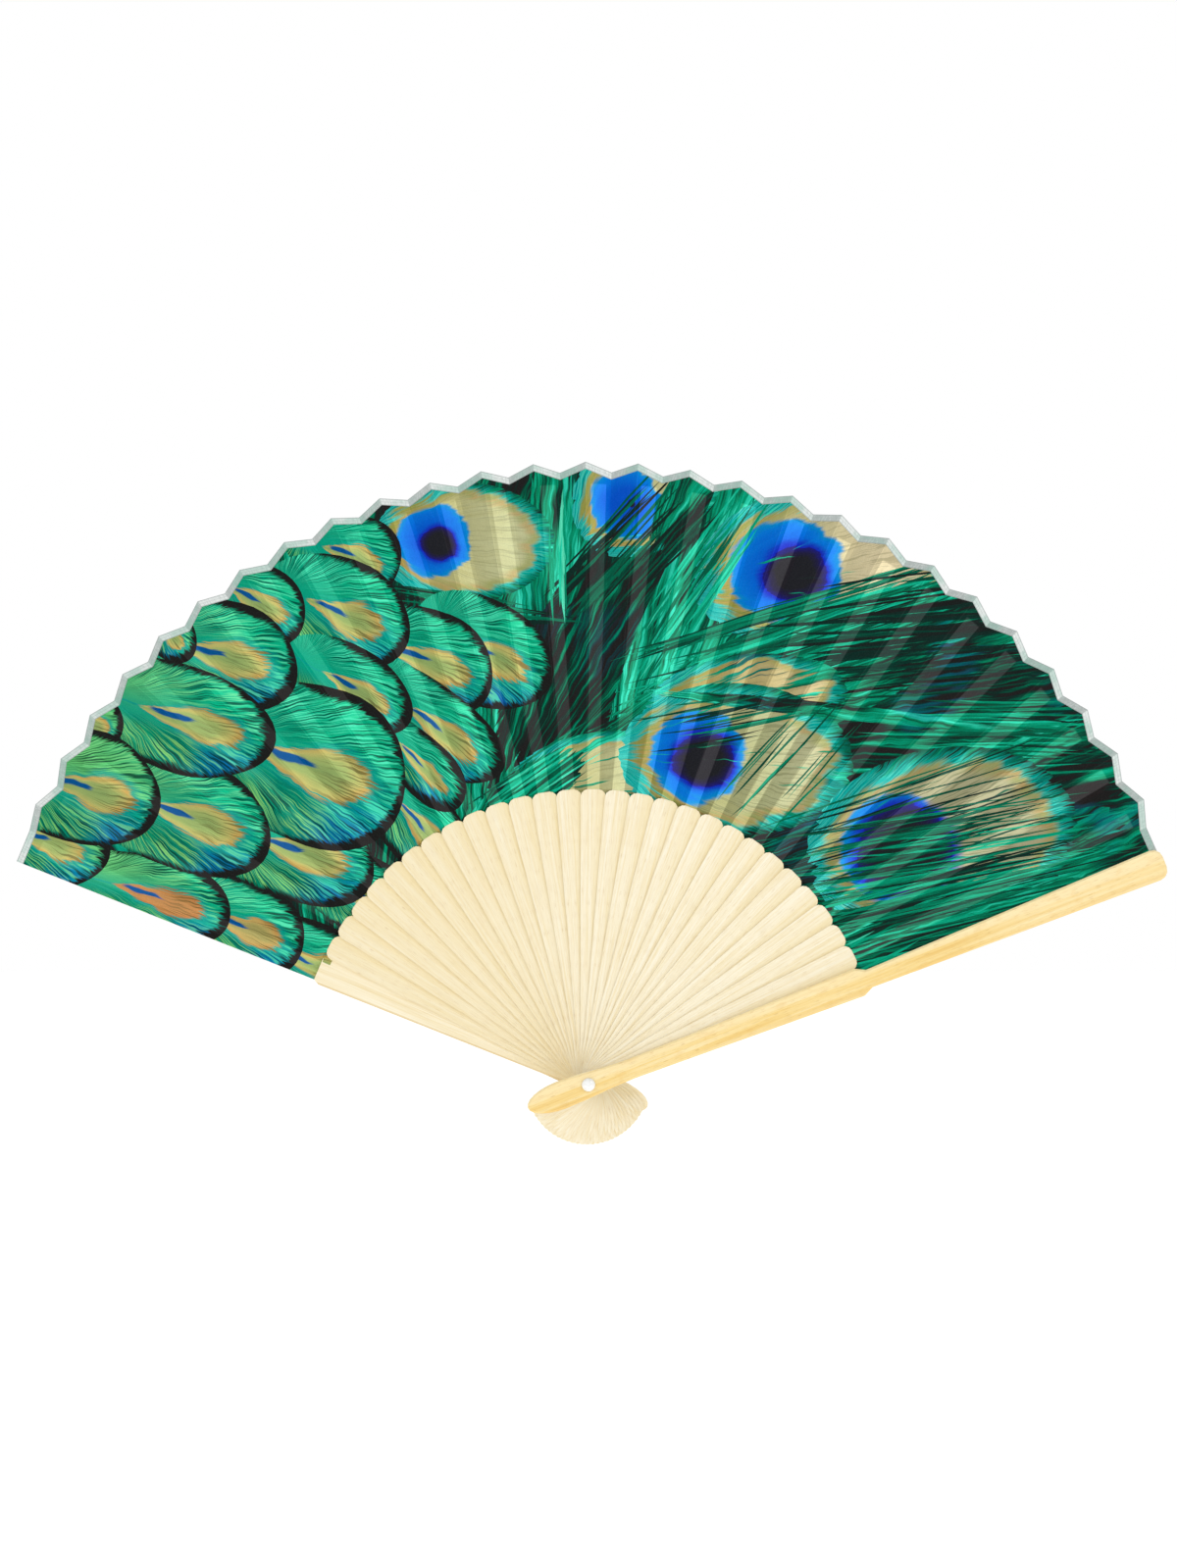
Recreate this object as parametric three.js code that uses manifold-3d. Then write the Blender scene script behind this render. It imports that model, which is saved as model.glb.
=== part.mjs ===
// A folding hand fan, shown open: two guards and a row of ribs turn on one rivet,
// and a pleated cloth leaf joins the thin slips that carry it.
// Millimetres, +Z up. The origin is on the rivet's axis, which runs along Y, and -Y is the front.
import * as THREE from "three";
import { mergeVertices } from "three/addons/utils/BufferGeometryUtils.js";
import Module from "manifold-3d";

const wasm = await Module();
wasm.setup();

// How the fan opens
const ribCount = 27;
const openAngle = 135.9;
const frontGuardAngle = 21.1; // above the horizontal, on the right

// Ribs
const ribThickness = 0.5;
const stickGap = 0.15;
const tailReach = 19.2;
const headCentre = 9;
const headWidth = 8.6;
const waistReach = 14;
const waistWidth = 5.4;
const shoulderReach = 91;
const shoulderWidth = 7.9;
const shoulderRadius = 2.4;

// Slips, the thin upper parts of the ribs
const slipThickness = 0.3;
const slipInset = 0.05; // behind the slip, to the rib's back face
const slipRoot = 4; // inside the shoulder
const slipSideMargin = 0.15; // from the slip's edge to its panel's edge, at the neck
const slipFlare = 1.1; // how much wider the slip's tip is than its neck
const slipTipMargin = 3.5; // from the slip's tip to the leaf's valley edge

// Guards
const guardThickness = 2.4;
const guardRelief = 0.9; // the inner face lies deeper behind the leaf
const guardTailReach = 20;
const guardHeadWidth = 8.7;
const guardWaistInner = 2.9; // half widths, on the ribs' side and on the outside
const guardWaistOuter = 3.3;
const guardStepInner = 3.8; // at the wide end of the step
const guardStepOuter = 5.1;
const guardNeckInner = 2.2; // just beyond the step
const guardNeckOuter = 3.5;
const guardStepReach = 90.8; // the middle of the step
const guardStepFillet = 1.6;
const guardTipReach = 190.2;
const guardTipInner = 5;
const guardTipOuter = 4.7;
const guardTipRadius = 3.2;
const guardBevel = 0.55;

// Leaf
const clothThickness = 0.25;
const glueGap = 0.12;
const leafStart = 0.4; // beyond the shoulders
const twistLength = 5.6; // where the pleats grow from flat to full depth
const pleatTilt = 15; // of each panel, out of the fan's plane
const mountainReach = 192.2;
const valleyReach = 189.1;
const foldGap = 0.15; // each side of a mountain fold
const rearEdgeReach = 190.6; // the leaf's corner on the rear guard, which the leaf stands out past
const rearEdgeNear = 4.2; // from the rear guard's centreline to the leaf's edge, at its start and its corner
const rearEdgeFar = 6.5;

// Rivet
const pinRadius = 1.2;
const holeClearance = 0.25;
const beadRadius = 2.1;
const beadHeight = 1.5;
const beadGap = 0.1;

// Steps of the round shapes
const tailSteps = 6;
const blendSteps = 3;
const cornerSteps = 3;
const roundSteps = 16;
const twistSteps = 3;

// One overrun for all cuts
const overrun = 5;

// Angles and places that follow from the sizes
const gapAngle = THREE.MathUtils.degToRad(openAngle / (ribCount + 1));
const foldAngle = gapAngle / 4; // from a stick's centreline to the folds of its panel
const tilt = THREE.MathUtils.degToRad(pleatTilt);
const pitch = ribThickness + stickGap;
const stackHalf = ((ribCount - 1) * pitch + ribThickness) / 2;
const guardInner = stackHalf + stickGap;
const guardOuter = guardInner + guardThickness;
const reliefFace = guardInner + guardRelief;
const leafReach = shoulderReach + leafStart;
const slipReach = valleyReach - slipTipMargin;
const slipBehindMiddle = ribThickness / 2 - slipInset - slipThickness / 2;
const clothBeforeSlip = (slipThickness / 2 + glueGap + clothThickness / 2) / Math.cos(tilt);
const clothBesideGuard = glueGap + clothThickness / 2;
const holeRadius = (pinRadius + holeClearance) / Math.cos(Math.PI / roundSteps);
const cutHalf = Math.max(guardHeadWidth, guardStepOuter, guardTipInner) + overrun;

// Materials
function material(color, roughness) {
  return new THREE.MeshStandardMaterial({ color, roughness, metalness: 0 });
}
const ribBamboo = () => material(0xf8ecc8, 0.55);
const guardBamboo = () => material(0xf3d78c, 0.35);
const leafCloth = () => material(0x0f8f78, 0.7);
const rivetPlastic = () => material(0xf6f6f4, 0.3);

// Sticks are numbered from the rear guard, 0, to the front guard, which is the last.
const lastStick = ribCount + 1;
const stickAngle = (k) => THREE.MathUtils.degToRad(frontGuardAngle) + (lastStick - k) * gapAngle;
const stickMiddle = (k) => (lastStick / 2 - k) * pitch;

// A solid from a geometry, for cutting and joining
function solid(geometry) {
  const bare = geometry.clone();
  bare.deleteAttribute("normal");
  bare.deleteAttribute("uv");
  const merged = mergeVertices(bare);
  return new wasm.Manifold(
    new wasm.Mesh({
      numProp: 3,
      vertProperties: merged.attributes.position.array,
      triVerts: new Uint32Array(merged.index.array),
    }),
  );
}

function geometryOf(made) {
  const mesh = made.getMesh();
  const geometry = new THREE.BufferGeometry();
  geometry.setAttribute("position", new THREE.BufferAttribute(mesh.vertProperties, 3));
  geometry.setIndex(new THREE.BufferAttribute(mesh.triVerts, 1));
  geometry.computeVertexNormals();
  return geometry;
}

// A plate with its outline in the X, Z plane, from yFront back to yBack
function plate(outline, yFront, yBack, extras = {}) {
  const shape = outline instanceof THREE.Shape ? outline : new THREE.Shape(outline);
  const bevel = extras.bevelEnabled ? extras.bevelThickness : 0;
  const depth = yBack - yFront - 2 * bevel;
  const geometry = new THREE.ExtrudeGeometry(shape, { bevelEnabled: false, ...extras, depth });
  geometry.rotateX(Math.PI / 2);
  geometry.translate(0, yBack - bevel, 0);
  return geometry;
}

function box(xLow, xHigh, yLow, yHigh, halfWidth) {
  const geometry = new THREE.BoxGeometry(xHigh - xLow, yHigh - yLow, 2 * halfWidth);
  geometry.translate((xLow + xHigh) / 2, (yLow + yHigh) / 2, 0);
  return geometry;
}

// A round hole's outline for a shape
function pivotHole() {
  const hole = new THREE.Path();
  for (let i = 0; i < roundSteps; i++) {
    const a = (-2 * Math.PI * i) / roundSteps;
    const point = [holeRadius * Math.cos(a), holeRadius * Math.sin(a)];
    if (i === 0) hole.moveTo(...point);
    else hole.lineTo(...point);
  }
  hole.closePath();
  return hole;
}

// One edge of a stick's head, from the end of the tail to the waist: distance along, distance out
function headEdge(reach, headHalf, waistHalf) {
  const points = [];
  for (let i = 0; i <= tailSteps; i++) {
    const a = (Math.PI / 2) * (i / tailSteps);
    points.push([-headCentre - (reach - headCentre) * Math.cos(a), headHalf * Math.sin(a)]);
  }
  for (let i = 1; i <= blendSteps; i++) {
    const share = i / blendSteps;
    const eased = (1 - Math.cos(Math.PI * share)) / 2;
    const along = -headCentre + (waistReach + headCentre) * share;
    points.push([along, headHalf + (waistHalf - headHalf) * eased]);
  }
  return points;
}

// A round corner whose arc turns from the edge's direction to straight across
function corner(along, out, radius) {
  const points = [];
  for (let i = 0; i <= cornerSteps; i++) {
    const a = (Math.PI / 2) * (i / cornerSteps);
    points.push([
      along - radius + radius * Math.sin(a),
      out - radius + radius * Math.cos(a),
    ]);
  }
  return points;
}

// A closed outline from its edge on the +Z side and its edge on the -Z side
function outlineOf(plusEdge, minusEdge) {
  const points = minusEdge.map(([x, out]) => new THREE.Vector2(x, -out));
  const back = plusEdge.slice(1).reverse();
  return points.concat(back.map(([x, out]) => new THREE.Vector2(x, out)));
}

// Half the width of a slip at a distance from the rivet
function slipHalf(x) {
  const neck = (leafReach * Math.sin(foldAngle)) / Math.cos(tilt) - slipSideMargin;
  return neck + ((slipFlare / 2) * (x - leafReach)) / (slipReach - leafReach);
}

// The tilt of the slips and of the panels glued to them
function tiltAt(x) {
  return tilt * THREE.MathUtils.clamp((x - leafReach) / twistLength, 0, 1);
}

// Where the sections of a slip or a pleat lie, up to the point where the twist ends
function twistStations() {
  return Array.from({ length: twistSteps + 1 }, (_, i) => leafReach + (twistLength * i) / twistSteps);
}

// Joins rings of points with as many points each into a closed solid
function loft(rings) {
  const size = rings[0].length;
  const positions = rings.flat(2);
  const index = [];
  for (let r = 0; r + 1 < rings.length; r++) {
    for (let i = 0; i < size; i++) {
      const a = r * size + i;
      const b = r * size + ((i + 1) % size);
      index.push(a, b, b + size, a, b + size, a + size);
    }
  }
  const last = (rings.length - 1) * size;
  for (let i = 1; i + 1 < size; i++) {
    index.push(0, i + 1, i);
    index.push(last, last + i, last + i + 1);
  }
  const geometry = new THREE.BufferGeometry();
  geometry.setAttribute("position", new THREE.Float32BufferAttribute(positions, 3));
  geometry.setIndex(index);
  geometry.computeVertexNormals();
  return geometry;
}

// The slip: a thin strip that leaves the shoulder flat and turns to lie along its panel
function slip(middle) {
  const y = middle + slipBehindMiddle;
  const stations = [shoulderReach - slipRoot, ...twistStations(), slipReach];
  return loft(
    stations.map((x) => {
      const half = slipHalf(Math.max(x, leafReach));
      const a = tiltAt(x);
      const across = [-Math.sin(a) * half, Math.cos(a) * half];
      const through = [(Math.cos(a) * slipThickness) / 2, (Math.sin(a) * slipThickness) / 2];
      return [
        [x, y + across[0] + through[0], across[1] + through[1]],
        [x, y + across[0] - through[0], across[1] - through[1]],
        [x, y - across[0] - through[0], -across[1] - through[1]],
        [x, y - across[0] + through[0], -across[1] + through[1]],
      ];
    }),
  );
}

function rib(k) {
  const middle = stickMiddle(k);
  const edge = [
    ...headEdge(tailReach, headWidth / 2, waistWidth / 2),
    ...corner(shoulderReach, shoulderWidth / 2, shoulderRadius),
  ];
  const shape = new THREE.Shape(outlineOf(edge, edge));
  shape.holes.push(pivotHole());
  const body = plate(shape, middle - ribThickness / 2, middle + ribThickness / 2);
  return geometryOf(solid(body).add(solid(slip(middle))));
}

// One long edge of a guard, from its tail over the waist and the step to its tip
function guardEdge(waist, step, neck, tip) {
  return [
    ...headEdge(guardTailReach, guardHeadWidth / 2, waist),
    [guardStepReach - guardStepFillet, step],
    [guardStepReach, (step + neck) / 2],
    [guardStepReach + guardStepFillet, neck],
    ...corner(guardTipReach, tip, guardTipRadius),
  ];
}

// A bevelled plate whose outer face looks away from the ribs
function guard(front) {
  const innerEdge = guardEdge(guardWaistInner, guardStepInner, guardNeckInner, guardTipInner);
  const outerEdge = guardEdge(guardWaistOuter, guardStepOuter, guardNeckOuter, guardTipOuter);
  const shape = new THREE.Shape(front ? outlineOf(innerEdge, outerEdge) : outlineOf(outerEdge, innerEdge));
  const bevel = {
    bevelEnabled: true,
    bevelThickness: guardBevel,
    bevelSize: guardBevel,
    bevelOffset: -guardBevel,
    bevelSegments: 1,
  };
  // Depths count from the middle of the fan out to this guard's own side.
  const between = (low, high) => (front ? [-high, -low] : [low, high]);
  const cut = (low, high, near, far) => solid(box(low, high, ...between(near, far), cutHalf));
  // The blank has bevels on both faces, and cutting it back to its inner face leaves that one sharp.
  const blank = plate(shape, ...between(guardInner - 2 * guardBevel, guardOuter), bevel);
  const hole = new THREE.Shape(pivotHole().getPoints().reverse());
  const bore = plate(hole, ...between(guardInner - overrun, guardOuter + overrun));
  return geometryOf(
    solid(blank)
      .subtract(cut(-guardTailReach - overrun, guardTipReach + overrun, guardInner - overrun, guardInner))
      .subtract(cut(shoulderReach, guardTipReach + overrun, guardInner - overrun, reliefFace))
      .subtract(solid(bore)),
  );
}

// The middle of the cloth of a stick's glued panel, from front to back
const clothMiddle = (k) => stickMiddle(k) + slipBehindMiddle - clothBeforeSlip;

// A fold line of a stick's glued panel, at an angle from the stick's centreline: its place from front to
// back at a distance from the rivet. The panels at the guards lie flat on the guards' inner faces.
function foldDepth(k, angle, x) {
  if (k === 0) return reliefFace - clothBesideGuard;
  if (k === lastStick) return -reliefFace + clothBesideGuard;
  return clothMiddle(k) - x * Math.sin(angle) * Math.tan(tiltAt(x));
}

// A pleated strip of cloth through fold lines. Each line gives, at a distance from the rivet, its angle, its
// place from front to back and how far it is set sideways.
function pleats(lines, reaches) {
  const stations = [...twistStations(), mountainReach];
  const top = [];
  const bottom = [];
  stations.forEach((station, s) => {
    lines.forEach((line, i) => {
      const x = s + 1 < stations.length ? station : reaches[i];
      const [angle, y, shift] = line(x);
      const half = clothThickness / 2 / Math.cos(tiltAt(x));
      const along = x * Math.cos(angle) - shift * Math.sin(angle);
      const across = x * Math.sin(angle) + shift * Math.cos(angle);
      top.push([along, y - half, across]);
      bottom.push([along, y + half, across]);
    });
  });
  const wide = lines.length;
  const count = top.length;
  const index = [];
  const quad = (a, b, c, d) => index.push(a, b, c, a, c, d);
  for (let s = 0; s + 1 < stations.length; s++) {
    for (let i = 0; i + 1 < wide; i++) {
      const a = s * wide + i;
      quad(a, a + 1, a + 1 + wide, a + wide);
      quad(count + a, count + a + wide, count + a + 1 + wide, count + a + 1);
    }
    const first = s * wide;
    const last = first + wide - 1;
    quad(first, first + wide, count + first + wide, count + first);
    quad(last, count + last, count + last + wide, last + wide);
  }
  const end = (stations.length - 1) * wide;
  for (let i = 0; i + 1 < wide; i++) {
    quad(i, count + i, count + i + 1, i + 1);
    quad(end + i, end + i + 1, count + end + i + 1, count + end + i);
  }
  const geometry = new THREE.BufferGeometry();
  geometry.setAttribute("position", new THREE.Float32BufferAttribute([...top, ...bottom].flat(), 3));
  geometry.setIndex(index);
  geometry.computeVertexNormals();
  return geometry;
}

// The angle of the leaf's edge on the rear guard, at a distance from the rivet
function rearEdgeAngle(x) {
  const share = (x - leafReach) / (rearEdgeReach - leafReach);
  return Math.asin(THREE.MathUtils.lerp(rearEdgeNear, rearEdgeFar, share) / x);
}

// The glued panel of a stick and the free panel that joins it to the next stick, in the stick's own frame
function gore(k) {
  const mountain = (x) => [k === 0 ? rearEdgeAngle(x) : foldAngle, foldDepth(k, foldAngle, x), -foldGap];
  const valley = (x) => [-foldAngle, foldDepth(k, -foldAngle, x), 0];
  const next = (x) => [foldAngle - gapAngle, foldDepth(k + 1, foldAngle, x), foldGap];
  const leftReach = k === 0 ? rearEdgeReach : mountainReach;
  return pleats([mountain, valley, next], [leftReach, valleyReach, mountainReach]);
}

// The end of the leaf, glued flat inside the front guard
function leafEnd() {
  const mountain = (x) => [foldAngle, foldDepth(lastStick, foldAngle, x), -foldGap];
  const edge = (x) => [-foldAngle, foldDepth(lastStick, -foldAngle, x), 0];
  return pleats([mountain, edge], [valleyReach, valleyReach]);
}

// A bead's dome: points out from the axis and along it, from the rim to the top
function dome(sign, base) {
  const points = [];
  for (let i = 0; i <= cornerSteps; i++) {
    const a = (Math.PI / 2) * (i / cornerSteps);
    const out = i === cornerSteps ? 0 : beadRadius * Math.cos(a);
    points.push(new THREE.Vector2(out, base + sign * beadHeight * Math.sin(a)));
  }
  return points;
}

// The rivet pin with its front bead
function rivetPin() {
  const face = guardOuter + beadGap;
  const profile = [
    ...dome(-1, -face).reverse(),
    new THREE.Vector2(pinRadius, -face),
    new THREE.Vector2(pinRadius, face),
    new THREE.Vector2(0, face),
  ];
  return new THREE.LatheGeometry(profile, roundSteps);
}

// The rear bead, fixed to the pin's end
function rivetCap() {
  const face = guardOuter + beadGap;
  return new THREE.LatheGeometry([new THREE.Vector2(0, face), ...dome(1, face)], roundSteps);
}

function mesh(name, geometry, look) {
  const made = new THREE.Mesh(geometry, look);
  made.name = name;
  return made;
}

const numbered = (name, k) => `${name}_${String(k).padStart(2, "0")}`;

// The fan, with a turned group for each stick and what is glued to it
const fan = new THREE.Group();
for (let k = 0; k <= lastStick; k++) {
  const stick = new THREE.Group();
  stick.rotation.y = -stickAngle(k);
  if (k === 0) stick.add(mesh("rear_guard", guard(false), guardBamboo()));
  else if (k === lastStick) stick.add(mesh("front_guard", guard(true), guardBamboo()));
  else stick.add(mesh(numbered("rib", k), rib(k), ribBamboo()));
  if (k === lastStick) stick.add(mesh("leaf_end", leafEnd(), leafCloth()));
  else stick.add(mesh(numbered("leaf_pleat", k), gore(k), leafCloth()));
  fan.add(stick);
}
fan.add(mesh("rivet_pin", rivetPin(), rivetPlastic()));
fan.add(mesh("rivet_cap", rivetCap(), rivetPlastic()));

export default fan;
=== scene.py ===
import math
import random

import bmesh
import bpy
import numpy as np
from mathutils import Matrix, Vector
from mathutils.geometry import delaunay_2d_cdt


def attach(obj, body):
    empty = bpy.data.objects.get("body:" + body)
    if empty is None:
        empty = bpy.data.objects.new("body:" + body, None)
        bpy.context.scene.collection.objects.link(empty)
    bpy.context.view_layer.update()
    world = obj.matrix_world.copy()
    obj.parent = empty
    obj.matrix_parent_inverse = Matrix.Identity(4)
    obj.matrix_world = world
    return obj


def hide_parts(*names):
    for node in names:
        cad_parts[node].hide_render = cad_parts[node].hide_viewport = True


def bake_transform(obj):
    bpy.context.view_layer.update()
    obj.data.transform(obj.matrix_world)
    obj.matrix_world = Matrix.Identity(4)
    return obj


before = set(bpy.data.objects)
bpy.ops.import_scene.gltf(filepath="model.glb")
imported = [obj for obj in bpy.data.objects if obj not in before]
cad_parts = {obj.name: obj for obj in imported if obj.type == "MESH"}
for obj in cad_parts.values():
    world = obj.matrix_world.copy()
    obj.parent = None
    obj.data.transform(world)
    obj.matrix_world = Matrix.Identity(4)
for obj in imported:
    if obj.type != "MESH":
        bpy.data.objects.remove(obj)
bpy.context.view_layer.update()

# Sizes of the fan in millimetres and degrees, as in the CAD part
MM = 0.001
DM = 100  # a decimetre, which the materials measure in
RIBS = 27
LAST = RIBS + 1
OPEN_ANGLE = 135.9
FRONT_ANGLE = 21.1  # of the front guard above the level
GAP = math.radians(OPEN_ANGLE / LAST)
FOLD = GAP / 4  # from a stick's centreline to the folds of its panel
PITCH = 0.65  # from stick to stick along the rivet
TILT = math.radians(15)  # of a glued panel
LEAF_START = 91.4  # how far from the rivet, as for the folds' outer ends
TWIST = 5.6  # the panels turn to their tilt over this length
MOUNTAIN = 192.2
VALLEY = 189.1
REAR_EDGE_REACH = 190.6
REAR_EDGE_NEAR = 4.2  # from the rear guard's centreline to the leaf's edge, at its start
REAR_EDGE_FAR = 6.5  # and at its outer end
GUARD_OUTER = 11.25  # how far before and behind the fan's middle the guards reach

# The cloth, thinner here than the CAD's solid and inside its space
CLOTH = 0.12
CLOTH_BEFORE_MIDDLE = 0.30  # from a rib's middle
CLOTH_AT_GUARD = 9.62  # from the fan's middle
LAST_TILT = math.radians(3.5)  # of the last rib's panel, so that the closed cloth clears the front guard
SLIP_HALF = 2.4
TUCK_BEHIND_MIDDLE = 0.325  # where the free panels start, behind the ribs' shoulders
TUCK_AT_GUARD = 8.775
GLUED_START = 91.06
TUCK_START = 88.2
TUCK_TURN = 90.6
BINDING_WIDTH = 2.1
BINDING_OVER = 0.12  # past the cloth's edge
BINDING_HALF = 0.12  # half the tape's thickness
PANEL_ZOOM = 10  # the map of a panel is stretched so much across
SAME_POINT_DIGITS = 4  # corners that agree to so many decimals are one point
ON_FOLD = 1e-4  # a share across a panel this close to a fold lies on it
CUT_PRECISION = 1e-4
INSIDE_FACES = 1  # the cut keeps the triangles inside its faces
FRONT_SLOT, BACK_SLOT, BINDING_SLOT = 0, 1, 2

# Edges and the rivet
GUARD_BEVEL = 0.25
RIB_BEVEL = 0.09
BEVEL_ANGLE = math.radians(40)
BEVEL_STEPS = 2
BEAD_RADIUS = 2.1
BEAD_HEIGHT = 1.5
BEAD_FACE = GUARD_OUTER + 0.1
PIN_RADIUS = 1.2
TURN_STEPS = 48
DOME_STEPS = 10

# The photograph's frame, and the studio in metres
MM_PER_PIXEL = 0.302
PIXELS_HIGH = 1599
PIVOT_X = 600
PIVOT_Y = 1106
CAMERA_DISTANCE = 1.8
FRONT_DEPTH = 0.010
SENSOR = 36.0
CLIP = (0.05, 50)
WORLD_LIGHT = 0.78  # the camera sees a white world, but it shines less
# Lights: name, place, watts and size
LIGHTS = (("key", (1.1, -1.2, 1.0), 3.2, 0.5),
          ("fill", (-1.3, -1.2, 0.5), 1.2, 1.0))
FLOOR_LEVEL = -0.16
FLOOR_HALF = 6.0


def stick_angle(k):
    """Of stick k above the level at the right. Stick 0 is the rear guard, and LAST the front one."""
    return math.radians(FRONT_ANGLE) + (LAST - k) * GAP


def stick_middle(k):
    """How far back rib k's middle lies."""
    return (LAST / 2 - k) * PITCH


def stick_name(k):
    return "rear_guard" if k == 0 else "front_guard" if k == LAST else f"rib_{k:02d}"


def linear(rgb):
    """A colour of three numbers up to 255, as Blender's nodes want it."""
    shares = [c / 255 for c in rgb]
    return [s / 12.92 if s <= 0.04045 else ((s + 0.055) / 1.055) ** 2.4 for s in shares] + [1.0]


# Materials

class Value:
    """A number that nodes work out, so that sums of nodes read as sums."""

    def __init__(self, net, socket):
        self.net, self.socket = net, socket

    def __add__(self, other):
        return self.net.math("ADD", self, other)

    def __sub__(self, other):
        return self.net.math("SUBTRACT", self, other)

    def __rsub__(self, other):
        return self.net.math("SUBTRACT", other, self)

    def __mul__(self, other):
        return self.net.math("MULTIPLY", self, other)

    def __truediv__(self, other):
        return self.net.math("DIVIDE", self, other)


class Net:
    """A material and the calls that add nodes to it."""

    def __init__(self, name):
        self.material = bpy.data.materials.new(name)
        self.material.use_nodes = True
        self.tree = self.material.node_tree
        self.shader = self.tree.nodes["Principled BSDF"]

    def node(self, kind, **settings):
        made = self.tree.nodes.new("ShaderNode" + kind)
        for name, value in settings.items():
            setattr(made, name, value)
        return made

    def feed(self, socket, value):
        if isinstance(value, Value):
            self.tree.links.new(value.socket, socket)
        elif isinstance(value, bpy.types.NodeSocket):
            self.tree.links.new(value, socket)
        elif isinstance(value, tuple):
            socket.default_value = linear(value)
        else:
            socket.default_value = value

    def math(self, operation, a, b=0.0):
        made = self.node("Math", operation=operation)
        self.feed(made.inputs[0], a)
        self.feed(made.inputs[1], b)
        return Value(self, made.outputs[0])

    def length(self, a, b):
        return self.math("SQRT", a * a + b * b)

    def above(self, a, low=0.0):
        return self.math("MAXIMUM", a, low)

    def step(self, value, low, high):
        """Rises smoothly from 0 at low to 1 at high, or falls where high is the smaller."""
        made = self.node("MapRange", interpolation_type="SMOOTHSTEP")
        self.feed(made.inputs["Value"], value)
        upside = low > high
        self.feed(made.inputs["From Min"], high if upside else low)
        self.feed(made.inputs["From Max"], low if upside else high)
        made.inputs["To Min"].default_value = 1.0 if upside else 0.0
        made.inputs["To Max"].default_value = 0.0 if upside else 1.0
        return Value(self, made.outputs["Result"])

    def noise(self, x, y, detail=2.0, roughness=0.55):
        place = self.node("CombineXYZ")
        self.feed(place.inputs["X"], x)
        self.feed(place.inputs["Y"], y)
        made = self.node("TexNoise", noise_dimensions="2D")
        self.feed(made.inputs["Vector"], place.outputs[0])
        made.inputs["Scale"].default_value = 1.0
        made.inputs["Detail"].default_value = detail
        made.inputs["Roughness"].default_value = roughness
        return Value(self, made.outputs[0])

    def mix(self, share, a, b):
        made = self.node("Mix", data_type="RGBA")
        self.feed(made.inputs[0], share)
        self.feed(made.inputs[6], a)
        self.feed(made.inputs[7], b)
        return made.outputs[2]

    def gain(self, colour, factor, lift):
        """The colour times a factor, plus a lift."""
        made = self.node("VectorMath", operation="MULTIPLY_ADD")
        self.feed(made.inputs[0], colour)
        made.inputs[1].default_value = (factor,) * 3
        made.inputs[2].default_value = (lift,) * 3
        return made.outputs[0]

    def ramp(self, value, stops):
        made = self.node("ValToRGB")
        elements = made.color_ramp.elements
        while len(elements) < len(stops):
            elements.new(0.5)
        for element, (place, rgb) in zip(elements, stops):
            element.position = place
            element.color = linear(rgb)
        self.feed(made.inputs[0], value)
        return made.outputs[0]

    def split(self, socket):
        made = self.node("SeparateXYZ")
        self.feed(made.inputs[0], socket)
        return [Value(self, s) for s in made.outputs]

    def uv(self, name):
        return self.split(self.node("UVMap", uv_map=name).outputs[0])[:2]

    def attribute(self, name):
        return self.split(self.node("Attribute", attribute_name=name).outputs["Vector"])

    def bump(self, height, distance):
        made = self.node("Bump")
        made.inputs["Distance"].default_value = distance
        self.feed(made.inputs["Height"], height)
        self.tree.links.new(made.outputs[0], self.shader.inputs["Normal"])

    def finish(self, colour, roughness, **sockets):
        self.feed(self.shader.inputs["Base Color"], colour)
        self.feed(self.shader.inputs["Roughness"], roughness)
        for name, value in sockets.items():
            self.shader.inputs[name.replace("_", " ")].default_value = value
        return self.material


# Colours of the print, up to 255, and ramps of (place, colour)

INK = (30, 27, 26)
LIME = (124, 204, 88)
MINT_BARB = (74, 226, 180)
LIME_BARB = (140, 218, 116)
GRASS = (0, 146, 92)
GRASS_BARB = (162, 226, 104)
DEEP_BARB = (0, 52, 46)
STREAK_BLUE = (0, 82, 146)
RUST = (196, 104, 60)
BODY = [(0.05, (0, 88, 164)), (0.22, (0, 132, 168)), (0.42, (0, 168, 146)),
        (0.66, (0, 172, 126)), (0.84, (0, 192, 142)), (0.99, (44, 216, 158))]
DROP = [(0.0, (142, 168, 100)), (0.45, (162, 180, 106)), (0.75, (194, 186, 108)), (0.98, (204, 166, 88))]
EYE_TAN = [(0.1, (156, 146, 66)), (0.3, (180, 174, 108)), (0.55, (190, 188, 136)), (0.85, (206, 208, 160))]
EYE_RING = [(0.78, (0, 178, 170)), (0.92, (0, 166, 146)), (1.0, (0, 112, 88))]
EYE_BLUE = [(0.4, (0, 84, 206)), (0.62, (0, 104, 216)), (0.86, (0, 122, 222)), (0.98, (0, 140, 204))]
PUPIL = [(0.6, (34, 32, 38)), (0.8, (34, 28, 66)), (0.98, (30, 24, 120)), (1.0, (20, 40, 186))]
LONG_BARBS = [(0.06, (34, 30, 30)), (0.22, (14, 44, 38)), (0.38, (0, 88, 64)),
              (0.53, (0, 136, 96)), (0.7, (0, 166, 128)), (0.93, (52, 220, 184))]
SINGLE_BARB = [(0.0, (30, 28, 28)), (0.25, (8, 48, 40)), (0.5, (0, 108, 78)),
               (0.7, (0, 158, 118)), (0.88, (16, 198, 158)), (1.0, (96, 228, 188))]
TAPE = [(0.3, (172, 180, 177)), (0.5, (198, 205, 202)), (0.7, (226, 231, 228))]
RIB_WOOD = [(0.3, (240, 222, 174)), (0.46, (248, 235, 202)),
            (0.6, (252, 243, 217)), (0.75, (254, 248, 228))]
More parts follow.
